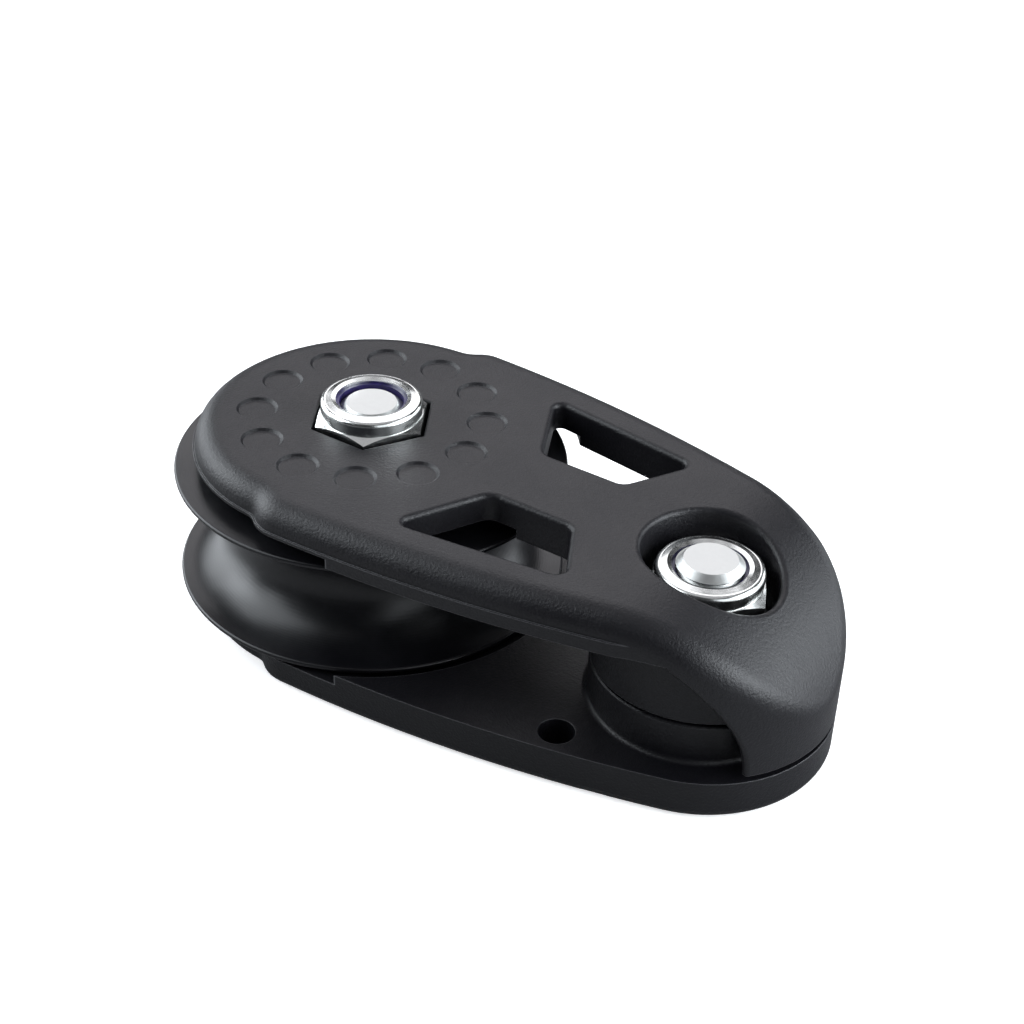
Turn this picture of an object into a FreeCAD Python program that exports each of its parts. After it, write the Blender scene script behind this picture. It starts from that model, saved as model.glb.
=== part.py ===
"""Single sheave block: two moulded cheeks, a ball-bearing sheave and two through bolts.

Frame: millimetres, +Z up. The origin is on the sheave's axle, in the plane of the flat
underside. +X points along the block towards its head. The block is symmetric about y = 0.
"""
import FreeCAD, Part
import math
import os

V = FreeCAD.Vector

SIZES = {
    # Plan shape, shared by both cheeks
    "head_distance": 48.4,
    "end_radius": 22.0,
    "end_join": -1.3,
    "shoulder_inner": 2.6,
    "shoulder_outer": 5.0,
    "side_radius": 187.0,
    "head_radius": 16.5,
    # Levels above the underside
    "cheek_level": 5.3,
    "lower_relief": 3.9,
    "upper_relief": 22.2,
    "shell_edge": 20.9,
    "shell_top": 25.8,
    "shell_foot": 6.1,
    "sheave_middle": 12.2,
    "nut_seat": 20.5,
    "head_seat": 14.2,
    "hub_joint": 10.7,
    "hub_gap": 0.45,
    # Top shell
    "relief_radius": 26.3,
    "rollover": 3.2,
    "band_step": 0.25,
    "band_top": 22.6,
    "band_taper": 46.5,
    "band_end": 50.0,
    "dome_start": 44.2,
    "dome_radius": 22.2,
    "arch_start": 51.0,
    "arch_middle": 57.5,
    "arch_middle_level": 14.8,
    "arch_foot": 60.0,
    "arch_edge": 0.6,
    "wall": 1.5,
    "nose_ceiling": 12.0,
    "rib": 2.0,
    "axle_boss": 10.0,
    "axle_boss_reach": 5.9,
    "pocket_corner": 8.0,
    "pocket_lip": 0.35,
    "recess_radius": 8.1,
    "recess_lip": 0.6,
    "dimple_ring": 14.4,
    "dimple_radius": 2.6,
    "dimple_floor": 2.25,
    "dimple_depth": 0.35,
    "dimple_count": 12,
    "window_lip": 0.7,
    # Bottom plate
    "hub_radius": 13.1,
    "base_edge": 1.3,
    "hub_foot": 0.6,
    "hub_edge": 0.3,
    "countersink": 8.1,
    "countersink_land": 0.45,
    "screw_hole": 2.2,
    "screw_along": 39.0,
    "screw_across": 16.1,
    # Sheave and its bearing
    "sheave_radius": 24.7,
    "sheave_half": 8.1,
    "face_radius": 20.5,
    "rim_radius": 24.3,
    "rim_level": 7.75,
    "groove_half": 7.05,
    "groove_floor": 17.0,
    "race_inner": 6.7,
    "race_outer": 10.7,
    "race_seat": 12.2,
    "race_half": 4.5,
    "ball_radius": 1.96,
    "ball_row": 2.3,
    "ball_count": 10,
    "cage_inner": 7.5,
    "cage_outer": 9.9,
    "cage_half": 3.6,
    "cage_pocket": 2.06,
    "ring_thick": 0.8,
    "ring_bore": 7.1,
    "washer_thick": 0.5,
    "washer_radius": 9.8,
    # Fasteners
    "bolt_radius": 4.0,
    "bolt_hole": 4.1,
    "bolt_recess": 0.2,
    "bolt_head": 7.9,
    "head_land": 0.3,
    "bolt_end": 3.15,
    "thread_depth": 0.6,
    "thread_pitch": 1.25,
    "thread_turns": 9,
    "thread_chamfer": 0.75,
    "socket_corner": 2.9,
    "socket_depth": 3.0,
    "axle_bolt_top": 27.75,
    "head_bolt_top": 24.5,
    "nut_corner": 7.5,
    "nut_height": 8.0,
    "nut_hex": 5.9,
    "nut_bore": 4.05,
    "nut_face": 6.4,
    "collar_radius": 6.35,
    "collar_mouth": 4.45,
    "collar_crest": 4.95,
    "insert_radius": 5.35,
    "insert_bore": 4.02,
    "insert_base": 5.9,
    "insert_top": 7.4,
    "head_nut_turn": -3.0,
    "sleeve_bore": 4.05,
    "sleeve_radius": 6.0,
    "sleeve_base": 6.2,
    "plain_washer": 7.9,
    "plain_washer_thick": 1.6,
    "pin_radius": 1.5,
    "pin_offset": 9.75,
    "pin_base": 8.0,
    "pin_length": 5.8,
    "fit": 0.05,
    "seat_gap": 0.03,
}

# Plan corners of the window on the +Y side, each with its rounding radius
WINDOW = [(16.3, 17.0, 1.0), (21.9, 5.6, 2.0), (33.2, 5.6, 1.6), (37.8, 14.2, 1.2)]

doc = FreeCAD.newDocument("sheave_block")
sheet = doc.addObject("Spreadsheet::Sheet", "sizes")
for row, (alias, value) in enumerate(SIZES.items(), start=1):
    sheet.set("A%d" % row, alias)
    sheet.set("B%d" % row, str(value))
    sheet.setAlias("B%d" % row, alias)
doc.recompute()


def size(alias):
    """The value that the sheet holds for one driving dimension."""
    return float(getattr(sheet, alias))


def bind(item, path, formula):
    """Ties one property of an object to a formula of the sheet's aliases."""
    words = formula.replace("(", " ( ").replace(")", " ) ").split()
    names = ["sizes." + word if word in SIZES else word for word in words]
    item.setExpression(path, " ".join(names))


def add_body(label):
    body = doc.addObject("PartDesign::Body", label)
    body.Label = label
    return body


def add_sketch(body, name, role, shapes, level=None):
    """A sketch on one of the body's origin planes, raised to a level given as a formula."""
    sketch = body.newObject("Sketcher::SketchObject", name)
    plane = [item for item in body.Origin.OriginFeatures if item.Role == role][0]
    sketch.AttachmentSupport = [(plane, "")]
    sketch.MapMode = "FlatFace"
    if level:
        bind(sketch, "AttachmentOffset.Base.z", level)
    sketch.addGeometry(shapes, False)
    return sketch


def pad(body, name, shapes, start, length):
    """Adds a slab of a plan outline, from a level upwards."""
    feature = body.newObject("PartDesign::Pad", name)
    feature.Profile = add_sketch(body, name + "_sketch", "XY_Plane", shapes, start)
    bind(feature, "Length", length)
    doc.recompute()
    return feature


def pocket(body, name, shapes, start, length):
    """Removes a slab of a plan outline, from a level upwards."""
    feature = body.newObject("PartDesign::Pocket", name)
    feature.Profile = add_sketch(body, name + "_sketch", "XY_Plane", shapes, start)
    feature.Reversed = True
    bind(feature, "Length", length)
    doc.recompute()
    return feature


def side_pocket(body, name, shapes):
    """Removes a side profile right across the block, both ways from y = 0."""
    feature = body.newObject("PartDesign::Pocket", name)
    feature.Profile = add_sketch(body, name + "_sketch", "XZ_Plane", shapes)
    feature.Type = "ThroughAll"
    feature.Midplane = True
    doc.recompute()
    return feature


def turn(body, name, kind, shapes, along=None):
    """A turned shape: a half profile of radius and level, taken round an upright axis."""
    feature = body.newObject("PartDesign::" + kind, name)
    sketch = add_sketch(body, name + "_sketch", "XZ_Plane", shapes)
    if along:
        bind(sketch, "AttachmentOffset.Base.x", along)
    feature.Profile = sketch
    feature.ReferenceAxis = (sketch, ["V_Axis"])
    feature.Angle = 360
    doc.recompute()
    return feature


def fillet(body, name, wanted, radius):
    """Rounds those edges of the body's last feature that a test picks out."""
    base = body.Tip
    names = ["Edge%d" % (i + 1) for i, edge in enumerate(base.Shape.Edges) if wanted(edge)]
    feature = body.newObject("PartDesign::Fillet", name)
    feature.Base = (base, names)
    bind(feature, "Radius", radius)
    doc.recompute()
    return feature


def circle(radius, x=0.0, y=0.0):
    return [Part.Circle(V(x, y, 0), V(0, 0, 1), radius)]


def polygon(points):
    """Closed straight-sided outline."""
    corners = [V(x, y, 0) for x, y in points]
    return [Part.LineSegment(a, b) for a, b in zip(corners, corners[1:] + corners[:1])]


def hexagon(corner, x=0.0, y=0.0, turned=0.0):
    angles = [math.radians(turned + 60 * i) for i in range(6)]
    return polygon([(x + corner * math.cos(a), y + corner * math.sin(a)) for a in angles])


def rounded(points):
    """Closed outline with straight sides; each corner is given as x, y and rounding radius."""
    corners = [V(x, y, 0) for x, y, radius in points]
    arcs = []
    for i, corner in enumerate(corners):
        radius = points[i][2]
        back = (corners[i - 1] - corner).normalize()
        ahead = (corners[(i + 1) % len(corners)] - corner).normalize()
        half = back.getAngle(ahead) / 2
        middle = (back + ahead).normalize()
        centre = corner + middle * (radius / math.sin(half))
        reach = radius / math.tan(half)
        arcs.append(Part.Arc(corner + back * reach, centre - middle * radius, corner + ahead * reach))
    shapes = []
    for i, arc in enumerate(arcs):
        following = arcs[(i + 1) % len(arcs)]
        shapes.append(arc.toShape().Curve.trim(arc.FirstParameter, arc.LastParameter))
        shapes.append(Part.LineSegment(arc.EndPoint, following.StartPoint))
    return shapes


def arc_between(centre, start, end, bend):
    """Arc about a centre from start to end, on the side that bend points to."""
    radius = (start - centre).Length
    middle = centre + bend.normalize() * radius
    return Part.Arc(start, middle, end)


def plan_centres():
    """Centres of the three arcs on the -Y side: shoulder, its convex return, and the long side."""
    head = V(size("head_distance"), 0, 0)
    gap = size("side_radius") - size("head_radius")
    side = V(-1.0, math.sqrt(gap ** 2 - (head.x + 1.0) ** 2), 0)
    join = -math.acos(size("end_join") / size("end_radius"))
    inner = V(math.cos(join), math.sin(join), 0) * (size("end_radius") + size("shoulder_inner"))
    near = size("shoulder_inner") + size("shoulder_outer")
    far = size("side_radius") - size("shoulder_outer")
    apart = side - inner
    along = (near ** 2 - far ** 2 + apart.Length ** 2) / (2 * apart.Length)
    across = math.sqrt(near ** 2 - along ** 2)
    ahead = V(apart.x, apart.y, 0).normalize()
    outer = inner + ahead * along + V(ahead.y, -ahead.x, 0) * across
    return inner, outer, side, head


def plan_outline(inset=0.0, stop=None):
    """The cheeks' plan, moved inwards by inset: round end, shoulders, long sides, round head.

    With a stop, the outline is left open there and has no head.
    """
    inner, outer, side, head = plan_centres()
    side_reach = size("side_radius") - inset
    p_end = V(inner.x, inner.y, 0).normalize() * (size("end_radius") - inset)
    p_shoulder = inner + (outer - inner).normalize() * (size("shoulder_inner") + inset)
    p_side = side + (outer - side).normalize() * side_reach
    p_head = side + (head - side).normalize() * side_reach
    if stop is not None:
        p_head = V(stop, side.y - math.sqrt(side_reach ** 2 - (stop - side.x) ** 2), 0)

    shapes = [arc_between(V(0, 0, 0), p_end, flip(p_end), V(-1, 0, 0))]
    if stop is None:
        shapes.append(arc_between(head, p_head, flip(p_head), V(1, 0, 0)))
    for centre, start, end in ((inner, p_end, p_shoulder), (outer, p_shoulder, p_side),
                               (side, p_side, p_head)):
        bend = (start + end) * 0.5 - centre
        shapes.append(arc_between(centre, start, end, bend))
        shapes.append(arc_between(flip(centre), flip(start), flip(end), flip(bend)))
    return shapes


def flip(point):
    """The same place on the other side of the block."""
    return V(point.x, -point.y, 0)


def dome_level(x):
    """Level of the shell's outer top at a place along the block: flat, then falling to the nose."""
    past = max(x - size("dome_start"), 0.0)
    radius = size("dome_radius")
    return size("shell_top") - radius + math.sqrt(radius ** 2 - past ** 2)


def dome_outline():
    """Side profile of what is cut away above the falling part of the shell's top."""
    start = size("dome_start")
    end = start + 0.96 * size("dome_radius")
    middle = (start + end) / 2
    top = size("shell_top") + 5
    curve = Part.Arc(V(start, size("shell_top"), 0), V(middle, dome_level(middle), 0),
                     V(end, dome_level(end), 0))
    rest = [(end, dome_level(end)), (end, top), (start, top), (start, size("shell_top"))]
    corners = [V(x, z, 0) for x, z in rest]
    return [curve] + [Part.LineSegment(a, b) for a, b in zip(corners, corners[1:])]


def arch_outline():
    """Side profile of the open space under the shell, from the round end to the nose wall's edge."""
    foot = size("shell_foot")
    start = V(size("arch_start"), size("shell_edge"), 0)
    middle = V(size("arch_middle"), size("arch_middle_level"), 0)
    end = V(size("arch_foot"), foot, 0)
    corners = [end, end - V(0, 1, 0), V(-30, foot - 1, 0), V(-30, start.y, 0), start]
    sides = [Part.LineSegment(a, b) for a, b in zip(corners, corners[1:])]
    return [Part.Arc(start, middle, end)] + sides


def band_outline():
    """The plan moved outwards by the band's step, drawn back into the wall short of the head."""
    shapes = plan_outline(-size("band_step"), size("band_taper"))
    side = shapes[-2]
    corner = max(side.StartPoint, side.EndPoint, key=lambda p: p.x)
    centre = plan_centres()[2]
    end = size("band_end")
    reach = size("side_radius") - size("band_step")
    tip = V(end, centre.y - math.sqrt(reach ** 2 - (end - centre.x) ** 2), 0)
    stops = [corner, tip, flip(tip), flip(corner)]
    return shapes + [Part.LineSegment(p, q) for p, q in zip(stops, stops[1:])]


def rib_outline(angle):
    """Plan of one short rib that ties the head boss to the nose wall."""
    half = size("rib") / 2
    inner = size("hub_radius") - 1
    outer = size("head_radius") - size("wall") + 0.7
    corners = [(inner, -half), (outer, -half), (outer, half), (inner, half)]
    turn_by = math.radians(angle)
    return polygon([(size("head_distance") + x * math.cos(turn_by) - y * math.sin(turn_by),
                     x * math.sin(turn_by) + y * math.cos(turn_by)) for x, y in corners])


def edge_places(edge):
    """Both ends and the middle of an edge."""
    first, last = edge.ParameterRange
    return [edge.valueAt(first), edge.valueAt((first + last) / 2), edge.valueAt(last)]


def on_shell_top(edge):
    """True for edges that lie in the shell's outer top and are not its seam across the block."""
    flush = all(abs(p.z - dome_level(p.x)) < 0.01 for p in edge_places(edge))
    return flush and edge.BoundBox.XLength > 0.01


def on_arch(edge):
    """True for the edges that the arch leaves in the shell's outer wall."""
    head = size("head_distance")
    places = edge_places(edge)
    outside = all(math.hypot(p.x - head, p.y) > size("head_radius") - 0.02 for p in places)
    along = all(size("arch_start") - 0.1 < p.x < size("arch_foot") + 0.1 for p in places)
    below = all(p.z < size("shell_edge") + 0.01 for p in places)
    return outside and along and below and edge.BoundBox.ZLength > 1 and edge.BoundBox.XLength > 0.5


def near(edge, x, y, reach):
    return all(math.hypot(p.x - x, p.y - y) < reach for p in edge_places(edge))


def in_window(edge):
    return all(16 < p.x < 38 and 5 < abs(p.y) < 16 for p in edge_places(edge))


def window(way):
    return rounded([(x, y * way, radius) for x, y, radius in WINDOW][::way])


def pin_circles():
    along = size("head_distance")
    offset = size("pin_offset")
    return [circle(size("pin_radius"), along, way * offset)[0] for way in (1, -1)]


def build_top_shell():
    """Upper cheek, with the head boss, the hooded nose and the seats of both nuts."""
    body = add_body("top_shell")
    head = size("head_distance")
    well = size("head_radius") - size("wall")
    joint = "hub_joint + hub_gap"
    pad(body, "block", plan_outline(), "shell_foot", "shell_top - shell_foot")
    side_pocket(body, "arch", arch_outline())
    pocket(body, "nose_well", circle(well, head), "shell_foot - 1", joint + " - shell_foot + 1")
    ring = circle(well, head) + circle(size("hub_radius"), head)
    pocket(body, "nose_ring", ring, joint, "nose_ceiling - hub_joint - hub_gap")
    for angle in (-35, 0, 35):
        pad(body, "rib_%d" % (angle + 35), rib_outline(angle), joint,
            "nose_ceiling - hub_joint - hub_gap + 0.5")
    pad(body, "head_boss", circle(size("hub_radius"), head), joint,
        "shell_edge - hub_joint - hub_gap + 0.5")
    side_pocket(body, "dome", dome_outline())
    fillet(body, "rollover_edge", on_shell_top, "rollover")
    fillet(body, "arch_edges", on_arch, "arch_edge")
    pad(body, "band", band_outline(), "shell_edge", "band_top - shell_edge")
    pocket(body, "relief", circle(size("relief_radius")), "shell_edge - 1", "upper_relief - shell_edge + 1")
    pad(body, "axle_boss_pad", circle(size("axle_boss")), "sheave_middle + axle_boss_reach",
        "upper_relief - sheave_middle - axle_boss_reach + 0.5")
    for way in (1, -1):
        side = "near" if way < 0 else "far"
        pocket(body, side + "_window", window(way), "shell_edge - 1", "shell_top - shell_edge + 2")
    fillet(body, "window_edges", lambda e: on_shell_top(e) and in_window(e), "window_lip")
    pocket(body, "nut_pocket", hexagon(size("pocket_corner")), "nut_seat", "shell_top - nut_seat + 1")
    fillet(body, "pocket_edges", lambda e: on_shell_top(e) and near(e, 0, 0, 9), "pocket_lip")
    pocket(body, "nut_recess", circle(size("recess_radius"), head), "head_seat",
           "shell_top - head_seat + 1")
    fillet(body, "recess_edges", lambda e: on_shell_top(e) and near(e, head, 0, 9), "recess_lip")
    pocket(body, "axle_hole", circle(size("bolt_hole")), "sheave_middle", "nut_seat - sheave_middle + 1")
    pocket(body, "sleeve_hole", circle(size("sleeve_radius") + size("fit"), head), "hub_joint",
           "head_seat - hub_joint + 1")
    pocket(body, "pin_holes", pin_circles(), "hub_joint", "pin_base + pin_length - hub_joint")
    add_dimples(body)
    return body


def dimple_profile():
    """Half profile of one dimple: a flat floor and a short sloping wall."""
    top = size("shell_top")
    floor = top - size("dimple_depth")
    return polygon([(0, floor), (size("dimple_floor"), floor), (size("dimple_radius"), top),
                    (size("dimple_radius"), top + 1), (0, top + 1)])


def add_dimples(body):
    """Ring of shallow round dimples about the axle."""
    dimple = turn(body, "dimple", "Groove", dimple_profile(), "dimple_ring")
    ring = body.newObject("PartDesign::PolarPattern", "dimples")
    ring.Originals = [dimple]
    axis = [item for item in body.Origin.OriginFeatures if item.Role == "Z_Axis"][0]
    ring.Axis = (axis, [""])
    ring.Angle = 360
    bind(ring, "Occurrences", "dimple_count")
    body.Tip = ring
    doc.recompute()


def countersink_profile():
    """Half profile of the cone that takes a bolt's head, with the way in below it."""
    wide = size("countersink")
    land = size("countersink_land")
    narrow = size("bolt_hole")
    return polygon([(0, -1), (wide, -1), (wide, land), (narrow, land + wide - narrow),
                    (0, land + wide - narrow)])


def at_level(edge, level):
    return all(abs(p.z - level) < 0.001 for p in edge_places(edge))


def on_circle(edge, x, radius):
    return all(abs(math.hypot(p.x - x, p.y) - radius) < 0.01 for p in edge_places(edge))


def build_bottom_plate():
    """Lower cheek: flat base, relief under the sheave, axle boss, head hub and screw holes."""
    body = add_body("bottom_plate")
    head = size("head_distance")
    level = size("cheek_level")
    pad(body, "slab", plan_outline(), None, "cheek_level")
    fillet(body, "base_round", lambda e: at_level(e, 0), "base_edge")
    pocket(body, "relief_floor", circle(size("relief_radius")), "lower_relief",
           "cheek_level - lower_relief + 1")
    pad(body, "axle_boss_pad", circle(size("axle_boss")), "lower_relief - 0.5",
        "sheave_middle - axle_boss_reach - lower_relief + 0.5")
    pad(body, "hub", circle(size("hub_radius"), head), "cheek_level - 0.5",
        "hub_joint - cheek_level + 0.5")
    hub = size("hub_radius")
    fillet(body, "hub_foot_round", lambda e: at_level(e, level) and on_circle(e, head, hub), "hub_foot")
    joint = size("hub_joint")
    fillet(body, "hub_edge_round", lambda e: at_level(e, joint) and on_circle(e, head, hub), "hub_edge")
    pocket(body, "axle_hole", circle(size("bolt_hole")), "-1", "sheave_middle")
    pocket(body, "head_hole", circle(size("bolt_hole"), head), "-1", "hub_joint")
    pocket(body, "sleeve_hole", circle(size("sleeve_radius") + size("fit"), head), "sleeve_base",
           "hub_joint - sleeve_base + 1")
    pocket(body, "pin_holes", pin_circles(), "pin_base", "hub_joint - pin_base + 1")
    turn(body, "axle_countersink", "Groove", countersink_profile())
    turn(body, "head_countersink", "Groove", countersink_profile(), "head_distance")
    across = size("screw_across")
    screws = [circle(size("screw_hole"), size("screw_along"), way * across)[0] for way in (1, -1)]
    pocket(body, "screw_holes", screws, "-1", "cheek_level + 2")
    return body


def sheave_profile():
    """Half profile of the sheave: bore, flat faces, thin round rims and a concave groove."""
    middle = size("sheave_middle")
    bore = size("race_seat")
    half = size("sheave_half")
    face = size("face_radius")
    rim = size("rim_radius")
    rim_side = size("rim_level")
    groove = size("groove_half")
    tip = V(size("sheave_radius"), (rim_side + groove) / 2, 0)

    def place(radius, offset):
        return V(radius, middle + offset, 0)

    shapes = [Part.LineSegment(place(bore, -half), place(bore, half))]
    shapes.append(Part.Arc(place(rim, -groove), place(size("groove_floor"), 0), place(rim, groove)))
    for way in (1, -1):
        shapes.append(Part.LineSegment(place(bore, way * half), place(face, way * half)))
        shapes.append(Part.LineSegment(place(face, way * half), place(rim, way * rim_side)))
        shapes.append(Part.Arc(place(rim, way * rim_side), place(tip.x, way * tip.y),
                               place(rim, way * groove)))
    return shapes


def build_sheave():
    body = add_body("sheave")
    turn(body, "sheave_turned", "Revolution", sheave_profile())
    return body


def ring(label, base, height, inner, outer, along=None):
    """Plain ring about an upright axis, from formulas for its sizes."""
    parts = []
    for name, radius in (("_outside", outer), ("_bore", inner)):
        cylinder = doc.addObject("Part::Cylinder", label + name)
        bind(cylinder, "Radius", radius)
        bind(cylinder, "Height", height)
        bind(cylinder, "Placement.Base.z", base)
        if along:
            bind(cylinder, "Placement.Base.x", along)
        parts.append(cylinder)
    cut = doc.addObject("Part::Cut", label)
    cut.Label = label
    cut.Base, cut.Tool = parts
    return cut


def build_bearing_rings():
    """Sleeve on the axle, race in the sheave, and the rings and washers at both ends."""
    half = "axle_boss_reach"
    rings = [
        ring("axle_sleeve", "sheave_middle - " + half, half + " * 2", "sleeve_bore", "race_inner"),
        ring("outer_race", "sheave_middle - race_half", "race_half * 2", "race_outer",
             "race_seat - seat_gap"),
    ]
    ends = {"upper": ("sheave_middle + race_half", "sheave_middle + axle_boss_reach - washer_thick"),
            "lower": ("sheave_middle - race_half - ring_thick", "sheave_middle - axle_boss_reach")}
    for end, (ring_base, washer_base) in ends.items():
        rings.append(ring("retainer_ring_" + end, ring_base, "ring_thick", "ring_bore",
                          "race_seat - seat_gap"))
        rings.append(ring("thrust_washer_" + end, washer_base, "washer_thick", "race_inner + fit",
                          "washer_radius"))
    return rings


def ball_angles(end):
    """Directions of one row's balls; the lower row sits half a pitch round from the upper."""
    count = int(size("ball_count"))
    start = 0.0 if end == "upper" else math.pi / count
    return [start + 2 * math.pi * i / count for i in range(count)]


def row_level(end):
    way = 1 if end == "upper" else -1
    return size("sheave_middle") + way * size("ball_row")


def build_balls():
    """Two rows of loose balls, each row one group of separate balls."""
    rows = []
    ring_radius = (size("race_inner") + size("race_outer")) / 2
    for end in ("upper", "lower"):
        balls = []
        for i, angle in enumerate(ball_angles(end)):
            ball = doc.addObject("Part::Sphere", "ball_%s_%d" % (end, i + 1))
            bind(ball, "Radius", "ball_radius")
            ball.Placement.Base = V(ring_radius * math.cos(angle), ring_radius * math.sin(angle),
                                    row_level(end))
            balls.append(ball)
        row_group = doc.addObject("Part::Compound", "ball_row_" + end)
        row_group.Label = "ball_row_" + end
        row_group.Links = balls
        rows.append(row_group)
    return rows


def build_cage():
    """Ring between the two rows whose round pockets, open at the rim, space the balls."""
    tube = ring("cage_tube", "sheave_middle - cage_half", "cage_half * 2", "cage_inner", "cage_outer")
    cutters = []
    for end in ("upper", "lower"):
        for i, angle in enumerate(ball_angles(end)):
            cutter = doc.addObject("Part::Cylinder", "cage_pocket_%s_%d" % (end, i + 1))
            bind(cutter, "Radius", "cage_pocket")
            bind(cutter, "Height", "cage_outer")
            outward = V(math.cos(angle), math.sin(angle), 0)
            start = outward * (size("cage_inner") / 2) + V(0, 0, row_level(end))
            cutter.Placement = FreeCAD.Placement(start, FreeCAD.Rotation(V(0, 0, 1), outward))
            cutters.append(cutter)
    pockets = doc.addObject("Part::MultiFuse", "cage_pockets")
    pockets.Shapes = cutters
    cage = doc.addObject("Part::Cut", "ball_cage")
    cage.Label = "ball_cage"
    cage.Base = tube
    cage.Tool = pockets
    return cage


def bolt_profile(top):
    """Half profile of a countersunk bolt, head down, its thread drawn as plain ridges."""
    base = size("bolt_recess")
    radius = size("bolt_radius")
    head = size("bolt_head")
    land = size("head_land")
    pitch = size("thread_pitch")
    valley = radius - size("thread_depth")
    thread_top = top - size("thread_chamfer")
    turns = int(size("thread_turns"))
    points = [(0, base), (head - land, base), (head, base + land), (radius, base + land + head - radius)]
    for i in range(turns):
        crest = thread_top - (turns - i) * pitch
        points += [(radius, crest), (valley, crest + pitch / 2)]
    points += [(radius, thread_top), (size("bolt_end"), top), (0, top)]
    return polygon(points)


def build_bolt(label, top, along=None):
    """Countersunk bolt standing on its head, with a hexagon socket underneath."""
    body = add_body(label)
    turn(body, label + "_turned", "Revolution", bolt_profile(size(top)), along)
    x = size(along) if along else 0.0
    pocket(body, label + "_socket", hexagon(size("socket_corner"), x), "bolt_recess - 1",
           "socket_depth + 1")
    return body


def corner_profile(level, way):
    """Half profile of the ring cut off a nut's corners at one end."""
    face = size("nut_face")
    wide = size("nut_corner") + 1
    drop = (wide - face) * math.tan(math.radians(30))
    return polygon([(face, level), (wide, level - way * drop), (wide, level + way), (face, level + way)])


def collar_profile(seat):
    """Half profile of a lock nut's crimped collar, hollow for its insert."""
    top = seat + size("nut_height")
    root = seat + size("nut_hex") - 0.5
    floor = seat + size("insert_base")
    ceiling = seat + size("insert_top")
    outer = size("collar_radius")
    crest = size("collar_crest")
    mouth = size("collar_mouth")
    bore = size("nut_bore")
    hollow = size("insert_radius") + size("seat_gap")
    round_start = V(outer, top - 0.95, 0)
    round_end = V(outer - 0.65, top - 0.22, 0)
    lip = [V(crest, top, 0), V(mouth, top - 0.2, 0), V(mouth, ceiling, 0), V(hollow, ceiling, 0),
           V(hollow, floor, 0), V(bore, floor, 0), V(bore, root, 0), V(outer, root, 0), round_start]
    shapes = [Part.Arc(round_start, V(outer - 0.17, top - 0.42, 0), round_end)]
    return shapes + [Part.LineSegment(a, b) for a, b in zip([round_end] + lip, lip)]


def build_nut(label, seat, level, turned, along=None):
    """Lock nut: hexagon with cut corners and a crimped collar; level is its seat's formula."""
    body = add_body(label)
    x = size(along) if along else 0.0
    pad(body, label + "_hexagon", hexagon(size("nut_corner"), x, 0, turned), level, "nut_hex")
    turn(body, label + "_top_corners", "Groove", corner_profile(seat + size("nut_hex"), 1), along)
    turn(body, label + "_base_corners", "Groove", corner_profile(seat, -1), along)
    turn(body, label + "_collar", "Revolution", collar_profile(seat), along)
    pocket(body, label + "_bore", circle(size("nut_bore"), x), level + " - 1", "nut_hex + 1")
    return body


def build_nuts():
    """Both lock nuts and the soft inserts held in their collars."""
    head_level = "head_seat + plain_washer_thick"
    head_seat = size("head_seat") + size("plain_washer_thick")
    pieces = [
        build_nut("axle_nut", size("nut_seat"), "nut_seat", 0.0),
        build_nut("head_nut", head_seat, head_level, size("head_nut_turn"), "head_distance"),
    ]
    for name, level, along in (("axle", "nut_seat", None), ("head", head_level, "head_distance")):
        pieces.append(ring(name + "_nut_insert", level + " + insert_base + seat_gap",
                           "insert_top - insert_base - seat_gap * 2", "insert_bore", "insert_radius",
                           along))
    return pieces


def build_head_pieces():
    """Washer, spacer sleeve and locating pins of the head."""
    head = "head_distance"
    washer = ring("head_washer", "head_seat", "plain_washer_thick", "bolt_hole + fit", "plain_washer",
                  head)
    sleeve = ring("head_sleeve", "sleeve_base", "head_seat - sleeve_base", "sleeve_bore",
                  "sleeve_radius", head)
    pins = []
    for side, way in (("far", ""), ("near", "-")):
        pin = doc.addObject("Part::Cylinder", side + "_pin")
        bind(pin, "Radius", "pin_radius - seat_gap")
        bind(pin, "Height", "pin_length - seat_gap * 2")
        bind(pin, "Placement.Base.x", head)
        bind(pin, "Placement.Base.y", way + "1 * pin_offset")
        bind(pin, "Placement.Base.z", "pin_base + seat_gap")
        pins.append(pin)
    pair = doc.addObject("Part::Compound", "locating_pins")
    pair.Label = "locating_pins"
    pair.Links = pins
    return [washer, sleeve, pair]


def export(pieces):
    """Writes every piece once nothing in the document has failed."""
    doc.recompute()
    failed = [item.Name for item in doc.Objects if {"Invalid", "Error"} & set(item.State)]
    for piece in pieces:
        if piece.Shape.isNull() or not piece.Shape.isValid():
            failed.append(piece.Label)
    if failed:
        raise RuntimeError("failed: " + ", ".join(failed))
    os.makedirs("parts", exist_ok=True)
    for piece in pieces:
        piece.Shape.exportStep("parts/%s.step" % piece.Label)


pieces = [build_top_shell(), build_bottom_plate(), build_sheave(), build_cage()]
pieces += build_bearing_rings() + build_balls()
pieces += [build_bolt("axle_bolt", "axle_bolt_top"),
           build_bolt("head_bolt", "head_bolt_top", "head_distance")]
pieces += build_nuts() + build_head_pieces()
export(pieces)
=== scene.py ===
"""Looks of the single sheave block: moulded plastic, turned sheave, bright steel fasteners."""
import math

import bpy
import bmesh
from mathutils import Matrix, Vector


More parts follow.
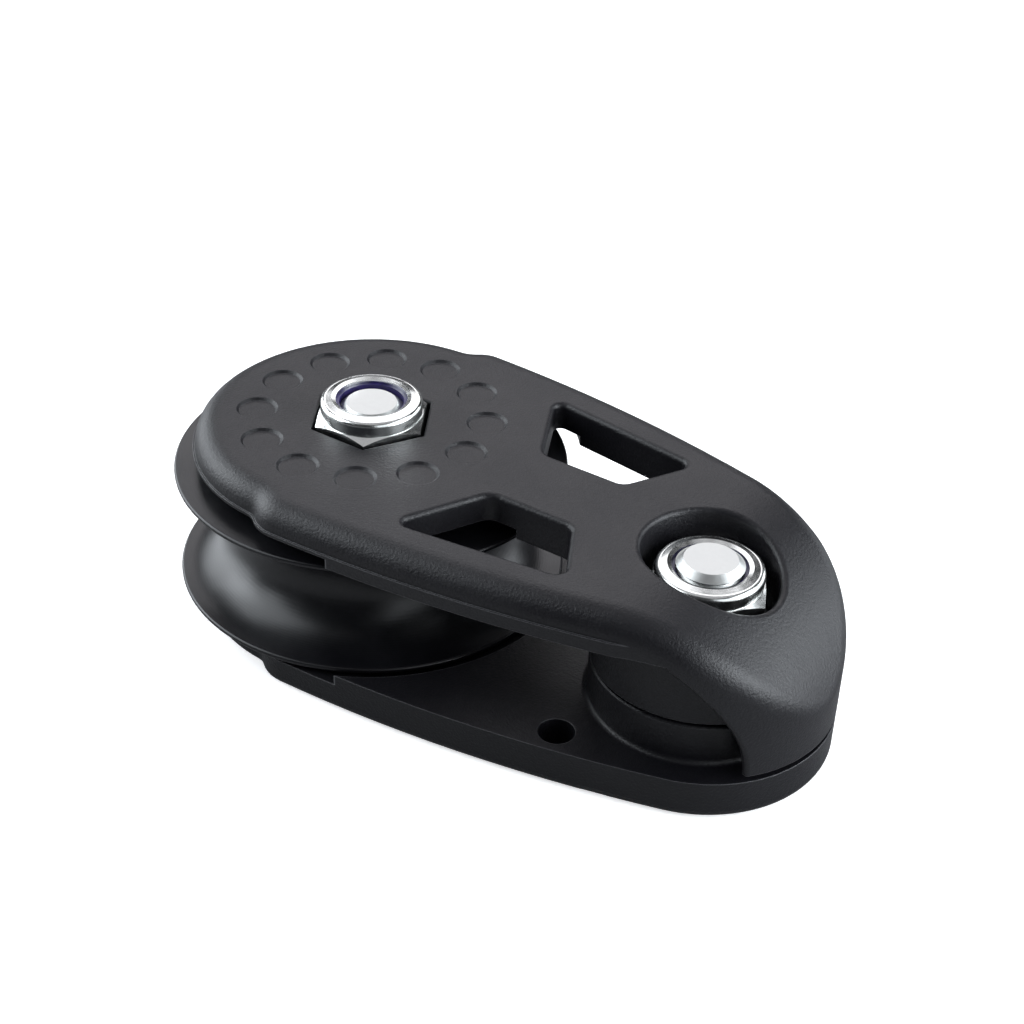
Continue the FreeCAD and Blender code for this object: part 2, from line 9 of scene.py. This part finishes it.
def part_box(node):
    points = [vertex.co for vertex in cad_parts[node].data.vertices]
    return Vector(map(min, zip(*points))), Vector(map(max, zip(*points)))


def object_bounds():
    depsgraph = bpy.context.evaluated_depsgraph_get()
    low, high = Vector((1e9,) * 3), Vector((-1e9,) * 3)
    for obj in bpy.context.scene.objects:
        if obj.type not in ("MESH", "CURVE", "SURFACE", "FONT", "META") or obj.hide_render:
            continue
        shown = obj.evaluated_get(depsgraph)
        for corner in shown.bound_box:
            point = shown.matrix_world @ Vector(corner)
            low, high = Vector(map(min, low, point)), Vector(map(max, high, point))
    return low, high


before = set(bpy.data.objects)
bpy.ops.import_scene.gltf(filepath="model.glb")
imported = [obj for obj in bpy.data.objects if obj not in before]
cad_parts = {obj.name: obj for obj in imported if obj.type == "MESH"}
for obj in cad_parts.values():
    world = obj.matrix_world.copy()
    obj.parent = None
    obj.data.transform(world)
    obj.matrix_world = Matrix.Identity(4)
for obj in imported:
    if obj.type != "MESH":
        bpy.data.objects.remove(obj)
cad_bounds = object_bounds()

MM = 0.001


# ---------------------------------------------------------------- camera, lights and floor

CAMERA_AZIMUTH = 33.03
CAMERA_ELEVATION = 33.99
CAMERA_ROLL = 2.13
CAMERA_DISTANCE = 213.1 * MM
CAMERA_AIM = Vector((26.12, -7.37, 25.8)) * MM
CAMERA_LENS = 65.0
SENSOR_WIDTH = 36.0
CLIP_START = 0.005

WORLD_TINT = (0.93, 0.95, 1.0)
WORLD_STRENGTH = 0.04

BACK_TINT = (0.97, 0.96, 1.0)
SIDE_TINT = (0.9, 0.95, 1.0)

# Name, azimuth and elevation in degrees, distance and size in metres, power in watts, tint
LIGHTS = [
    ("back_high_box", -147, 42, 0.7, 0.6, 2.1, BACK_TINT),
    ("left_low_box", -88, 8, 0.45, 0.4, 2.1, SIDE_TINT),
    ("left_high_box", -60, 34, 0.5, 0.42, 1.9, SIDE_TINT),
    ("right_low_box", 105, 10, 0.5, 0.4, 4.2, SIDE_TINT),
    ("right_high_box", 118, 34, 0.6, 0.4, 1.1, SIDE_TINT),
    ("right_front_box", 70, 20, 0.5, 0.4, 0.6, SIDE_TINT),
    ("right_back_box", 150, 4, 0.5, 0.35, 1.0, SIDE_TINT),
    ("top_box", 0, 88, 0.8, 0.8, 0.8, BACK_TINT),
]

FLOOR_SEEN = 0.93
FLOOR_BOUNCE = 0.36
FLOOR_GLOW = 0.55
FLOOR_GAP = 0.02 * MM
FLOOR_HALF_WIDTH = 3.0


def direction(azimuth, elevation):
    """Unit vector from the object towards a viewer; azimuth 0 stands on the -Y side."""
    a = math.radians(azimuth)
    e = math.radians(elevation)
    return Vector((math.sin(a) * math.cos(e), -math.cos(a) * math.cos(e), math.sin(e)))


def make_camera():
    """Camera at its own azimuth, elevation and roll, with CAMERA_AIM in the middle of its view."""
    data = bpy.data.cameras.new("camera")
    data.lens = CAMERA_LENS
    data.sensor_width = SENSOR_WIDTH
    data.clip_start = CLIP_START
    camera = bpy.data.objects.new("camera", data)
    bpy.context.scene.collection.objects.link(camera)
    back = direction(CAMERA_AZIMUTH, CAMERA_ELEVATION)
    a = math.radians(CAMERA_AZIMUTH)
    roll = math.radians(CAMERA_ROLL)
    level = Vector((math.cos(a), math.sin(a), 0))
    rise = back.cross(level)
    right = level * math.cos(roll) + rise * math.sin(roll)
    up = rise * math.cos(roll) - level * math.sin(roll)
    turn = Matrix((right, up, back)).transposed().to_4x4()
    camera.matrix_world = Matrix.Translation(CAMERA_AIM + back * CAMERA_DISTANCE) @ turn
    bpy.context.scene.camera = camera


def softbox(name, azimuth, elevation, distance, size, power, tint):
    """Square area light that faces the point that the camera aims at."""
    data = bpy.data.lights.new(name, "AREA")
    data.size = size
    data.energy = power
    data.color = tint
    lamp = bpy.data.objects.new(name, data)
    bpy.context.scene.collection.objects.link(lamp)
    towards = direction(azimuth, elevation)
    lamp.matrix_world = (Matrix.Translation(CAMERA_AIM + towards * distance)
                         @ towards.to_track_quat("Z", "Y").to_matrix().to_4x4())


def make_world():
    """Faint, slightly blue light from all round."""
    world = bpy.data.worlds.new("studio")
    world.use_nodes = True
    background = world.node_tree.nodes["Background"]
    background.inputs["Color"].default_value = (*WORLD_TINT, 1)
    background.inputs["Strength"].default_value = WORLD_STRENGTH
    bpy.context.scene.world = world
    bpy.context.scene.view_settings.view_transform = "Standard"


def grey(level):
    return (level, level, level, 1)


def make_floor():
    """Plain pale floor: white to the camera, a mid grey to the light that bounces off it."""
    mesh = bpy.data.meshes.new("floor")
    shape = bmesh.new()
    bmesh.ops.create_grid(shape, x_segments=1, y_segments=1, size=FLOOR_HALF_WIDTH)
    shape.to_mesh(mesh)
    shape.free()
    floor = bpy.data.objects.new("floor", mesh)
    bpy.context.scene.collection.objects.link(floor)
    floor.location.z = cad_bounds[0].z - FLOOR_GAP
    material, nodes, links, surface = new_material("floor_white")
    rays = nodes.new("ShaderNodeLightPath")
    tone = nodes.new("ShaderNodeMix")
    tone.data_type = "RGBA"
    tone.inputs["A"].default_value = grey(FLOOR_BOUNCE)
    tone.inputs["B"].default_value = grey(FLOOR_SEEN)
    links.new(rays.outputs["Is Camera Ray"], tone.inputs["Factor"])
    links.new(tone.outputs["Result"], surface.inputs["Base Color"])
    glow = nodes.new("ShaderNodeMath")
    glow.operation = "MULTIPLY"
    glow.inputs[1].default_value = FLOOR_GLOW
    links.new(rays.outputs["Is Camera Ray"], glow.inputs[0])
    links.new(glow.outputs["Value"], surface.inputs["Emission Strength"])
    surface.inputs["Emission Color"].default_value = (1, 1, 1, 1)
    surface.inputs["Specular IOR Level"].default_value = 0.0
    surface.inputs["Roughness"].default_value = 0.9
    floor.data.materials.append(material)


# ---------------------------------------------------------------- materials

EDGE_RADIUS = 0.2 * MM
# Light colour of the painted edge highlight: sharp edges lightened to stand in for the light they
# catch
PAINTED_EDGE_HIGHLIGHT = (0.08, 0.08, 0.085)

# How well the rolled normal agrees with the true one where the painted edge highlight starts and
# where it is full
EDGE_HIGHLIGHT_STARTS = 0.985
EDGE_HIGHLIGHT_FULL = 0.85

# Nearly all of a noise texture's values lie between these two
NOISE_LOW = 0.3
NOISE_HIGH = 0.7

# Distance between the rings of a wave texture of scale 1, in metres
WAVE_PITCH = 0.314
STEEL_PITCH = 0.35 * MM
STEEL_TINT = 0.98


def new_material(name):
    """A material with its nodes, its links and its surface shader."""
    material = bpy.data.materials.new(name)
    material.use_nodes = True
    nodes = material.node_tree.nodes
    return material, nodes, material.node_tree.links, nodes["Principled BSDF"]


def noise(nodes, links, vector, grain, detail=3.0, roughness=0.55):
    """Noise with features about one grain across, in metres."""
    texture = nodes.new("ShaderNodeTexNoise")
    texture.inputs["Scale"].default_value = 1.0 / grain
    texture.inputs["Detail"].default_value = detail
    texture.inputs["Roughness"].default_value = roughness
    links.new(vector, texture.inputs["Vector"])
    return texture.outputs["Fac"]


def ramp(nodes, links, value, low, high, dark, light):
    """Colour that goes from dark to light as the value goes from low to high."""
    node = nodes.new("ShaderNodeValToRGB")
    node.color_ramp.elements[0].position = low
    node.color_ramp.elements[0].color = (*dark, 1)
    node.color_ramp.elements[1].position = high
    node.color_ramp.elements[1].color = (*light, 1)
    links.new(value, node.inputs["Fac"])
    return node.outputs["Color"]


def spread(nodes, links, value, low, high):
    """Number that goes from low to high with a noise texture's value."""
    node = nodes.new("ShaderNodeMapRange")
    node.inputs["From Min"].default_value = NOISE_LOW
    node.inputs["From Max"].default_value = NOISE_HIGH
    node.inputs["To Min"].default_value = low
    node.inputs["To Max"].default_value = high
    links.new(value, node.inputs["Value"])
    return node.outputs["Result"]


def bump(nodes, links, height, strength, distance, after=None):
    """Normal bumped by a height, on top of another normal if there is one."""
    node = nodes.new("ShaderNodeBump")
    node.inputs["Strength"].default_value = strength
    node.inputs["Distance"].default_value = distance
    links.new(height, node.inputs["Height"])
    if after:
        links.new(after, node.inputs["Normal"])
    return node.outputs["Normal"]


def place_vector(nodes, links, centre=(0, 0, 0)):
    """The point on the piece, in metres, measured from a centre."""
    coordinates = nodes.new("ShaderNodeTexCoord")
    shift = nodes.new("ShaderNodeVectorMath")
    shift.operation = "SUBTRACT"
    shift.inputs[1].default_value = centre
    links.new(coordinates.outputs["Object"], shift.inputs[0])
    return shift.outputs["Vector"]


def ring_waves(nodes, links, vector, pitch):
    """Fine turning marks: rings about the Z axis through the vector's zero."""
    wave = nodes.new("ShaderNodeTexWave")
    wave.wave_type = "RINGS"
    wave.rings_direction = "Z"
    wave.inputs["Scale"].default_value = WAVE_PITCH / pitch
    wave.inputs["Distortion"].default_value = 0.6
    wave.inputs["Detail"].default_value = 2.0
    wave.inputs["Detail Scale"].default_value = 1.5
    links.new(vector, wave.inputs["Vector"])
    return wave.outputs["Fac"]


def soft_edges(nodes, radius):
    """Normal that rolls over sharp edges, as if each were rounded by this radius."""
    bevel = nodes.new("ShaderNodeBevel")
    bevel.samples = 6
    bevel.inputs["Radius"].default_value = radius
    return bevel.outputs["Normal"]


def painted_edge_highlights(nodes, links, rolled, colour, highlight_colour):
    """The colour, lightened towards a painted edge highlight where the rolled normal leaves the true
    one.
    """
    geometry = nodes.new("ShaderNodeNewGeometry")
    facing = nodes.new("ShaderNodeVectorMath")
    facing.operation = "DOT_PRODUCT"
    links.new(rolled, facing.inputs[0])
    links.new(geometry.outputs["Normal"], facing.inputs[1])
    # How much painted edge highlight: it grows as the rolled normal leaves the true one
    edge_highlight = nodes.new("ShaderNodeMapRange")
    edge_highlight.inputs["From Min"].default_value = EDGE_HIGHLIGHT_STARTS
    edge_highlight.inputs["From Max"].default_value = EDGE_HIGHLIGHT_FULL
    edge_highlight.inputs["To Min"].default_value = 0.0
    edge_highlight.inputs["To Max"].default_value = 1.0
    links.new(facing.outputs["Value"], edge_highlight.inputs["Value"])
    blend = nodes.new("ShaderNodeMix")
    blend.data_type = "RGBA"
    links.new(edge_highlight.outputs["Result"], blend.inputs["Factor"])
    links.new(colour, blend.inputs["A"])
    blend.inputs["B"].default_value = (*highlight_colour, 1)
    return blend.outputs["Result"]


def moulded_plastic(name, dark, light, roughness, grain, depth):
    """Glass-filled nylon: near-black, with a fine grain, faint flow clouds and painted highlights on
    its sharp edges.
    """
    material, nodes, links, surface = new_material(name)
    vector = place_vector(nodes, links)
    cloud = noise(nodes, links, vector, 9 * MM, 4.0)
    fine = noise(nodes, links, vector, grain, 3.0, 0.6)
    rolled = soft_edges(nodes, EDGE_RADIUS)
    colour = ramp(nodes, links, cloud, 0.35, 0.7, dark, light)
    # Sharp edges lightened in the base colour: a painted edge highlight
    edge_highlight = painted_edge_highlights(nodes, links, rolled, colour, PAINTED_EDGE_HIGHLIGHT)
    links.new(edge_highlight, surface.inputs["Base Color"])
    links.new(spread(nodes, links, cloud, *roughness), surface.inputs["Roughness"])
    links.new(bump(nodes, links, fine, 0.9, depth, rolled), surface.inputs["Normal"])
    surface.inputs["Specular IOR Level"].default_value = 0.4
    return material


def turned_plastic(name, dark, light, roughness, pitch):
    """Turned plastic: satin, with rings left by the tool and a fine grain."""
    material, nodes, links, surface = new_material(name)
    vector = place_vector(nodes, links)
    cloud = noise(nodes, links, vector, 6 * MM)
    rings = bump(nodes, links, ring_waves(nodes, links, vector, pitch), 0.25, 0.01 * MM)
    fine = noise(nodes, links, vector, 0.12 * MM)
    links.new(ramp(nodes, links, cloud, 0.35, 0.7, dark, light), surface.inputs["Base Color"])
    links.new(spread(nodes, links, cloud, *roughness), surface.inputs["Roughness"])
    links.new(bump(nodes, links, fine, 0.4, 0.01 * MM, rings), surface.inputs["Normal"])
    surface.inputs["Specular IOR Level"].default_value = 0.45
    return material


def bright_steel(name, centre, tones, roughness):
    """Stainless steel with turning marks about a centre and faint handling marks."""
    material, nodes, links, surface = new_material(name)
    vector = place_vector(nodes, links, centre)
    smudge = noise(nodes, links, vector, 1.6 * MM, 5.0)
    scratch = noise(nodes, links, vector, 0.2 * MM, 2.0)
    rings = bump(nodes, links, ring_waves(nodes, links, vector, STEEL_PITCH), 0.12, 0.004 * MM)
    dark, light = [(tone * STEEL_TINT, tone, tone * STEEL_TINT) for tone in tones]
    steel = ramp(nodes, links, smudge, 0.3, 0.75, dark, light)
    links.new(steel, surface.inputs["Base Color"])
    links.new(spread(nodes, links, smudge, *roughness), surface.inputs["Roughness"])
    links.new(bump(nodes, links, scratch, 0.08, 0.01 * MM, rings), surface.inputs["Normal"])
    surface.inputs["Metallic"].default_value = 1.0
    return material


def soft_plastic(name, dark, light, roughness):
    """Small plain plastic parts: nylon inserts, acetal balls and washers."""
    material, nodes, links, surface = new_material(name)
    vector = place_vector(nodes, links)
    cloud = noise(nodes, links, vector, 1.2 * MM, 3.0)
    links.new(ramp(nodes, links, cloud, 0.3, 0.7, dark, light), surface.inputs["Base Color"])
    links.new(spread(nodes, links, cloud, *roughness), surface.inputs["Roughness"])
    links.new(bump(nodes, links, cloud, 0.1, 0.02 * MM), surface.inputs["Normal"])
    return material


def middle(node):
    """The middle of a CAD node's box."""
    low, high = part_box(node)
    return (low + high) / 2


def give(node, material):
    """The CAD node's only material becomes this one."""
    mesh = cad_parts[node].data
    mesh.materials.clear()
    mesh.materials.append(material)


def finish_nodes():
    """A material for every CAD node."""
    shell = moulded_plastic("shell_nylon", (0.004, 0.0038, 0.0055), (0.0065, 0.0063, 0.0082),
                            (0.38, 0.46), 0.32 * MM, 0.08 * MM)
    base = moulded_plastic("base_nylon", (0.0025, 0.0024, 0.004), (0.0045, 0.0044, 0.006),
                           (0.36, 0.44), 0.32 * MM, 0.08 * MM)
    sheave = turned_plastic("sheave_acetal", (0.003, 0.003, 0.0042), (0.005, 0.005, 0.0065),
                            (0.28, 0.36), 0.3 * MM)
    dark_nylon = soft_plastic("dark_nylon", (0.012, 0.012, 0.014), (0.02, 0.02, 0.022), (0.4, 0.5))
    acetal = soft_plastic("white_acetal", (0.62, 0.61, 0.57), (0.72, 0.71, 0.68), (0.25, 0.35))
    violet = soft_plastic("violet_nylon", (0.008, 0.005, 0.05), (0.018, 0.01, 0.1), (0.3, 0.4))
    axle_steel = bright_steel("axle_steel", middle("axle_bolt"), (0.8, 0.92), (0.14, 0.28))
    head_steel = bright_steel("head_steel", middle("head_bolt"), (0.8, 0.92), (0.14, 0.28))
    axle_cut = bright_steel("axle_cut_steel", middle("axle_bolt"), (0.52, 0.6), (0.34, 0.46))
    head_cut = bright_steel("head_cut_steel", middle("head_bolt"), (0.52, 0.6), (0.34, 0.46))
    chosen = {
        "top_shell": shell, "bottom_plate": base, "sheave": sheave,
        "ball_cage": dark_nylon, "retainer_ring_upper": dark_nylon, "retainer_ring_lower": dark_nylon,
        "thrust_washer_upper": acetal, "thrust_washer_lower": acetal,
        "ball_row_upper": acetal, "ball_row_lower": acetal,
        "axle_nut_insert": violet, "head_nut_insert": violet,
        "axle_bolt": axle_cut, "axle_nut": axle_steel, "axle_sleeve": axle_steel,
        "outer_race": axle_steel, "head_bolt": head_cut, "head_nut": head_steel,
        "head_washer": head_steel, "head_sleeve": head_steel, "locating_pins": head_steel,
    }
    for node, material in chosen.items():
        give(node, material)


make_camera()
make_world()
make_floor()
for light in LIGHTS:
    softbox(*light)
finish_nodes()
